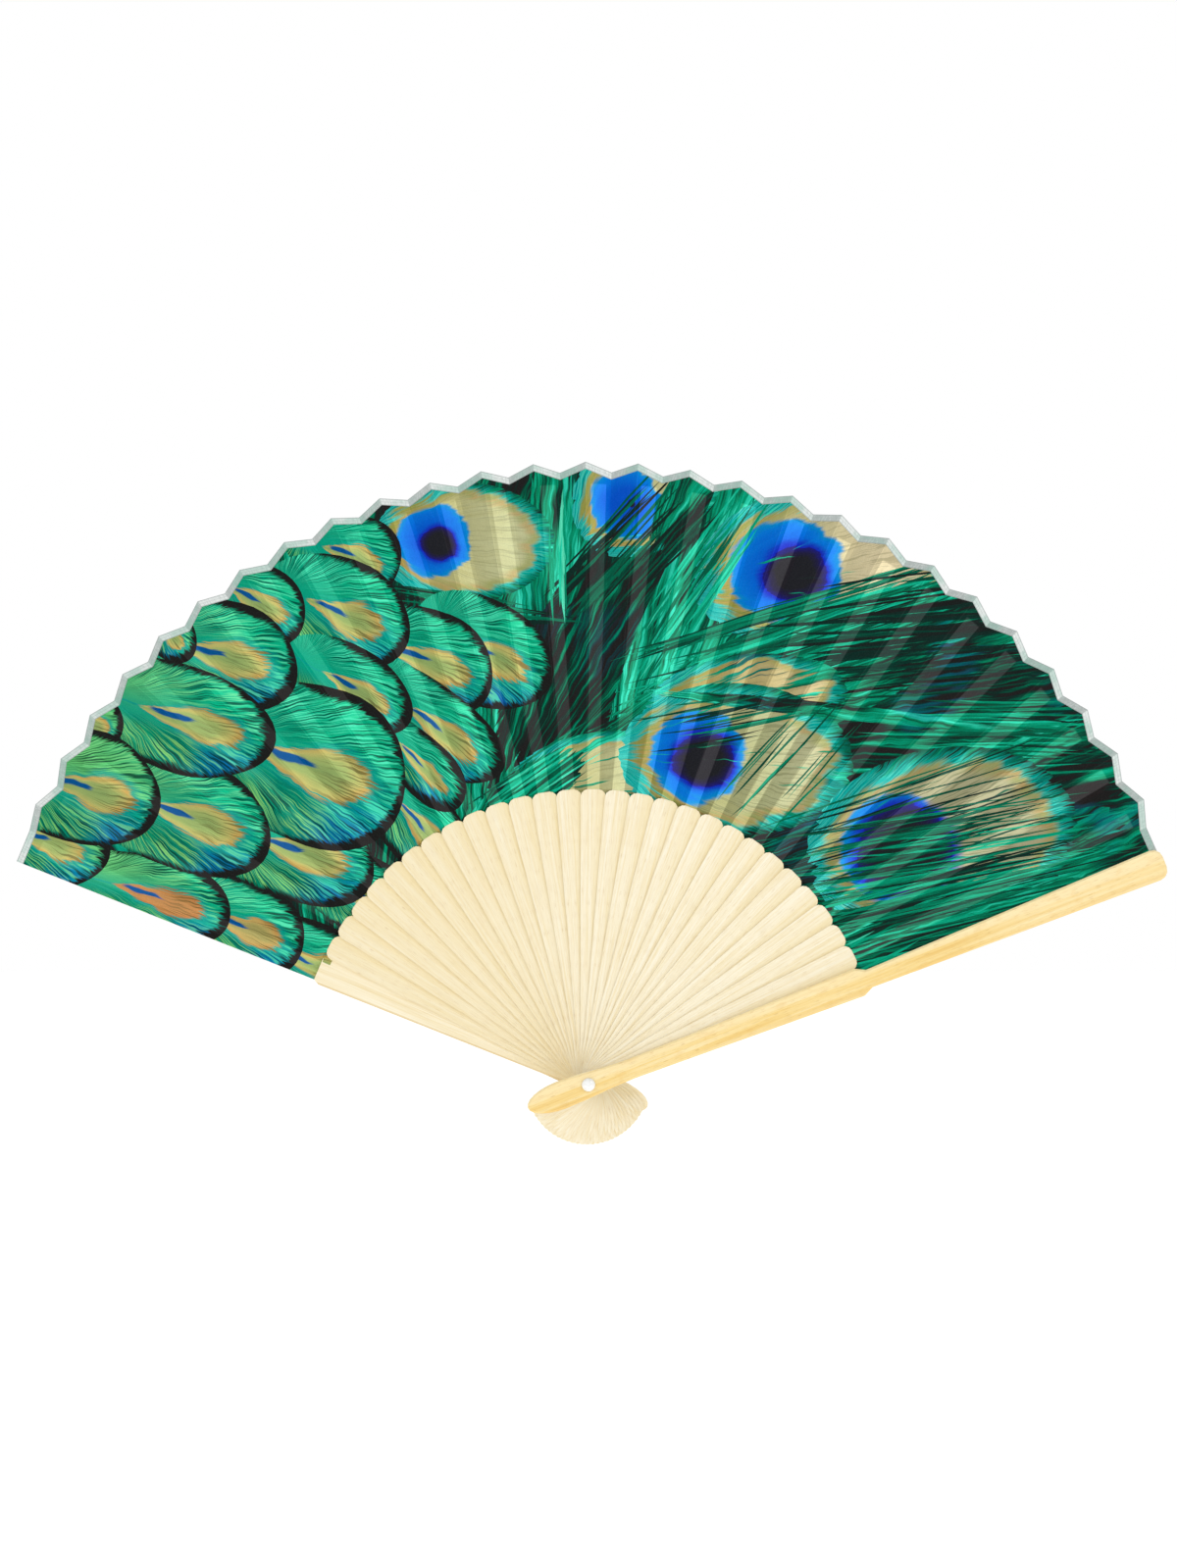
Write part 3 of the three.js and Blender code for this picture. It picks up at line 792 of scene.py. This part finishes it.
def layout():
    """The leaf cut along its folds and the feathers' outlines, as triangles of a panel and a top feather."""
    points, faces, panel_of = [], [], []
    for i in range(2 * LAST + 1):
        stations = panel_stations(i)
        rows = [(fold_point(i, r), fold_point(i + 1, r)) for r in stations]
        rows.append((fold_point(i, fold_reach(i)), fold_point(i + 1, fold_reach(i + 1))))
        for (a, b), (c, d) in zip(rows, rows[1:]):
            start = len(points)
            points += [Vector(p) for p in (a, b, d, c)]
            faces.append([start, start + 1, start + 2, start + 3])
            panel_of.append(i)
    plumes = feathers()
    for plume in plumes:
        start = len(points)
        points += [Vector((float(p[0]), float(p[1]))) for p in plume["outline"]]
        faces.append(list(range(start, len(points))))
    places, _, triangles, _, _, origins = delaunay_2d_cdt(
        points, [], faces, INSIDE_FACES, CUT_PRECISION, True)
    cut = []
    for corners, sources in zip(triangles, origins):
        panels = [panel_of[s] for s in sources if s < len(panel_of)]
        tops = [s - len(panel_of) for s in sources if s >= len(panel_of)]
        if panels:
            cut.append((panels[0], max(tops) if tops else 0, [tuple(places[c]) for c in corners]))
    return cut, plumes


def same_point(x, y, z):
    return (round(x, SAME_POINT_DIGITS), round(y, SAME_POINT_DIGITS), round(z, SAME_POINT_DIGITS))


class Sheet:
    """The faces of one piece of the leaf, with what its materials read."""

    def __init__(self):
        self.points, self.weights, self.index = [], [], {}
        self.faces, self.slots, self.glued, self.look, self.size = [], [], [], [], []
        self.maps = {"feather": [], "flat": [], "panel": []}

    def point(self, x, y, z, weight):
        key = same_point(x, y, z)
        if key not in self.index:
            self.index[key] = len(self.points)
            self.points.append((x * MM, y * MM, z * MM))
            self.weights.append(weight)
        return self.index[key]

    def face(self, corners, slot, panel, plume, strip=None):
        """corners are (x, y, z, weight); strip is each corner's place across and along the binding."""
        ids = [self.point(*c) for c in corners]
        if len(set(ids)) < len(ids):
            return
        self.faces.append(ids)
        self.slots.append(slot)
        self.glued.append((0.0 if panel % 2 else 1.0,) * 3)
        self.look.append(plume["look"])
        self.size.append(plume["size"])
        for i, (x, _, z, _) in enumerate(corners):
            offset = np.array([x, z]) - plume["base"]
            r, angle = math.hypot(x, z), math.atan2(z, x)
            place = (float(offset @ plume["axis"]) / plume["length"],
                     float(offset @ plume["cross"]) / plume["width"])
            self.maps["feather"].append(strip[i] if strip else place)
            self.maps["flat"].append((x / DM, z / DM))
            from_fold = r * (stick_angle(panel // 2) + FOLD - angle)
            self.maps["panel"].append((from_fold * PANEL_ZOOM / DM, r / DM))

    def mesh(self, name):
        made = bpy.data.meshes.new(name)
        made.from_pydata(self.points, [], self.faces)
        for title, values in self.maps.items():
            layer = made.uv_layers.new(name=title)
            layer.uv.foreach_set("vector", np.array(values, np.float32).ravel())
        for title, values in (("glued", self.glued), ("feather_look", self.look),
                              ("feather_size", self.size)):
            attribute = made.attributes.new(title, "FLOAT_VECTOR", "FACE")
            attribute.data.foreach_set("vector", np.array(values, np.float32).ravel())
        made.polygons.foreach_set("material_index", self.slots)
        made.update()
        return made


def weight_of(panel, share):
    """How far a point follows the next stick: not on the glued panel, wholly beyond the free one."""
    if panel == 2 * LAST:
        return 1.0
    return share if panel % 2 else 0.0


def fill_sheet(sheet, triangles, plumes):
    """Front, back and edges of the cloth."""
    half = CLOTH / 2
    edges = {}
    for panel, top, corners in triangles:
        (x0, z0), (x1, z1), (x2, z2) = corners
        if (x1 - x0) * (z2 - z0) - (x2 - x0) * (z1 - z0) < 0:
            corners = corners[::-1]
        rows = []
        for x, z in corners:
            share, depth = leaf_point(panel, x, z)
            rows.append((x, depth, z, weight_of(panel, share)))
        plume = plumes[top]
        front = [(x, y - half, z, w) for x, y, z, w in rows]
        back = [(x, y + half, z, w) for x, y, z, w in rows[::-1]]
        sheet.face(front, FRONT_SLOT, panel, plume)
        sheet.face(back, BACK_SLOT, panel, plume)
        for a, b in zip(rows, rows[1:] + rows[:1]):
            ends = [same_point(*p[:3]) for p in (a, b)]
            if (ends[1], ends[0]) in edges:
                del edges[(ends[1], ends[0])]
            else:
                edges[(ends[0], ends[1])] = (a, b, panel, plume)
    for a, b, panel, plume in edges.values():
        sheet.face([(b[0], b[1] - half, b[2], b[3]), (a[0], a[1] - half, a[2], a[3]),
                    (a[0], a[1] + half, a[2], a[3]), (b[0], b[1] + half, b[2], b[3])],
                   BACK_SLOT, panel, plume)


def add_binding(sheet, panel, plume):
    """The tape folded over the outer edge of one panel, a thin closed shell."""
    corners = {}
    for end in (0, 1):
        j = panel + end
        reach = fold_reach(j)
        weight = weight_of(panel, float(end))
        for level, r in (("in", reach - BINDING_WIDTH), ("out", reach + BINDING_OVER)):
            x, z = fold_point(j, r)
            depth = fold_depth(j, r)
            corners[end, level, -1] = (x, depth - BINDING_HALF, z, weight)
            corners[end, level, 1] = (x, depth + BINDING_HALF, z, weight)

    def quad(*keys):
        strip = [(0.0 if level == "in" else 1.0, float(end)) for end, level, _ in keys]
        sheet.face([corners[k] for k in keys], BINDING_SLOT, panel, plume, strip)

    quad((0, "in", -1), (1, "in", -1), (1, "out", -1), (0, "out", -1))
    quad((0, "in", 1), (0, "out", 1), (1, "out", 1), (1, "in", 1))
    quad((0, "out", -1), (1, "out", -1), (1, "out", 1), (0, "out", 1))
    quad((0, "in", -1), (0, "in", 1), (1, "in", 1), (1, "in", -1))
    quad((0, "in", -1), (0, "out", -1), (0, "out", 1), (0, "in", 1))
    quad((1, "in", -1), (1, "in", 1), (1, "out", 1), (1, "out", -1))


def flat_size(triangles):
    """Width, length and area of a piece of the leaf before it was pleated, in metres."""
    area, wide = 0.0, 0.0
    panels = sorted({t[0] for t in triangles})
    for panel, _, corners in triangles:
        p = [np.array([x, leaf_point(panel, x, z)[1], z]) * MM for x, z in corners]
        area += float(np.linalg.norm(np.cross(p[1] - p[0], p[2] - p[0]))) / 2
    for panel in panels:
        run = MOUNTAIN * (fold_angle(panel, MOUNTAIN) - fold_angle(panel + 1, MOUNTAIN))
        drop = fold_depth(panel, VALLEY) - fold_depth(panel + 1, VALLEY)
        wide += math.hypot(run, drop) * MM
    return wide, (MOUNTAIN - TUCK_START) * MM, area


def build_leaf():
    looks = [leaf_front(), leaf_back(), binding_tape()]  # in the slots' order
    cut, plumes = layout()
    for k in range(LAST):
        panels = [2 * k, 2 * k + 1] + ([2 * LAST] if k == LAST - 1 else [])
        triangles = [t for t in cut if t[0] in panels]
        sheet = Sheet()
        fill_sheet(sheet, triangles, plumes)
        for panel in panels:
            add_binding(sheet, panel, plumes[0])
        piece = bpy.data.objects.new(f"leaf_{k:02d}", sheet.mesh(f"leaf_{k:02d}"))
        bpy.context.scene.collection.objects.link(piece)
        for look in looks:
            piece.data.materials.append(look)
        middle = (LEAF_START + VALLEY) / 2
        start, end = [(x * MM, fold_depth(j, middle) * MM, z * MM)
                      for j in (2 * k + 1, 2 * k + 2) for x, z in [fold_point(j, middle)]]
        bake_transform(piece)
        nodes = [f"leaf_pleat_{k:02d}"] + (["leaf_end"] if k == LAST - 1 else [])
        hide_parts(*nodes)
        wide, long, area = flat_size(triangles)


# The sticks and the rivet

def dress_sticks():
    """Bamboo and fine bevels for the CAD's sticks, with the angle and number that the grain reads."""
    rib, guard = rib_bamboo(), guard_bamboo()
    for k in range(LAST + 1):
        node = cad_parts[stick_name(k)]
        node["stick_angle"] = stick_angle(k)
        node["stick_number"] = float(k)
        is_guard = k in (0, LAST)
        for slot in node.material_slots:
            slot.material = guard if is_guard else rib
        bevel = node.modifiers.new("edges", "BEVEL")
        bevel.limit_method = "ANGLE"
        bevel.angle_limit = BEVEL_ANGLE
        bevel.width = (GUARD_BEVEL if is_guard else RIB_BEVEL) * MM
        bevel.segments = BEVEL_STEPS


def lathe(name, profile, look):
    """A round piece about the rivet's axis, from points out from the axis and along it."""
    bm = bmesh.new()
    turns = [2 * math.pi * i / TURN_STEPS for i in range(TURN_STEPS)]
    rings = []
    for out, y in profile:
        around = turns if out else [0]
        rings.append([bm.verts.new((out * math.cos(t) * MM, y * MM, out * math.sin(t) * MM))
                      for t in around])
    for low, high in zip(rings, rings[1:]):
        for i in range(TURN_STEPS):
            j = (i + 1) % TURN_STEPS
            corners = [low[i % len(low)], low[j % len(low)], high[j % len(high)], high[i % len(high)]]
            bm.faces.new(dict.fromkeys(corners))
    bmesh.ops.recalc_face_normals(bm, faces=bm.faces)
    mesh = bpy.data.meshes.new(name)
    bm.to_mesh(mesh)
    bm.free()
    for face in mesh.polygons:
        face.use_smooth = True
    piece = bpy.data.objects.new(name, mesh)
    bpy.context.scene.collection.objects.link(piece)
    mesh.materials.append(look)
    return piece


def dome(sign):
    """A bead's profile from its rim to its top, at the front where sign is -1."""
    turns = [math.pi / 2 * i / DOME_STEPS for i in range(DOME_STEPS)]
    points = [(BEAD_RADIUS * math.cos(t), sign * (BEAD_FACE + BEAD_HEIGHT * math.sin(t))) for t in turns]
    return points + [(0, sign * (BEAD_FACE + BEAD_HEIGHT))]


def build_rivet():
    look = rivet_plastic()
    shaft = [(PIN_RADIUS, -BEAD_FACE), (PIN_RADIUS, BEAD_FACE), (0, BEAD_FACE)]
    pin = lathe("rivet_bead_front", dome(-1)[::-1] + shaft, look)
    cap = lathe("rivet_bead_rear", [(0, BEAD_FACE)] + dome(1), look)
    for piece, node in ((pin, "rivet_pin"), (cap, "rivet_cap")):
        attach(piece, "front_guard")
        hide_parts(node)


# Camera, light and floor

def build_stage():
    scene = bpy.context.scene
    camera = bpy.data.objects.new("camera", bpy.data.cameras.new("camera"))
    scene.collection.objects.link(camera)
    centre = (PIVOT_Y - PIXELS_HIGH / 2) * MM_PER_PIXEL * MM
    camera.location = (0, -CAMERA_DISTANCE, centre)
    camera.rotation_euler = (math.radians(90), 0, 0)
    camera.data.sensor_width = SENSOR
    camera.data.lens = SENSOR * (CAMERA_DISTANCE - FRONT_DEPTH) / (PIXELS_HIGH * MM_PER_PIXEL * MM)
    camera.data.clip_start, camera.data.clip_end = CLIP
    scene.camera = camera

    world = bpy.data.worlds.new("studio")
    scene.world = world
    world.use_nodes = True
    nodes, links = world.node_tree.nodes, world.node_tree.links
    nodes["Background"].inputs["Color"].default_value = (1, 1, 1, 1)
    seen = nodes.new("ShaderNodeLightPath")
    strength = nodes.new("ShaderNodeMapRange")
    strength.inputs["To Min"].default_value = WORLD_LIGHT
    strength.inputs["To Max"].default_value = 1.0
    links.new(seen.outputs["Is Camera Ray"], strength.inputs["Value"])
    links.new(strength.outputs["Result"], nodes["Background"].inputs["Strength"])
    for name, place, energy, size in LIGHTS:
        light = bpy.data.objects.new(name, bpy.data.lights.new(name, "AREA"))
        light.data.energy, light.data.size = energy, size
        light.location = place
        light.rotation_euler = (Vector((0, 0, centre)) - Vector(place)).to_track_quat("-Z", "Y").to_euler()
        scene.collection.objects.link(light)

    mesh = bpy.data.meshes.new("floor")
    signs = ((-1, -1), (1, -1), (1, 1), (-1, 1))
    corners = [(x * FLOOR_HALF, y * FLOOR_HALF, FLOOR_LEVEL) for x, y in signs]
    mesh.from_pydata(corners, [], [(0, 1, 2, 3)])
    floor = bpy.data.objects.new("floor", mesh)
    scene.collection.objects.link(floor)
    mesh.materials.append(floor_paint())
    scene.view_settings.view_transform = "Standard"


build_stage()
dress_sticks()
build_rivet()
build_leaf()
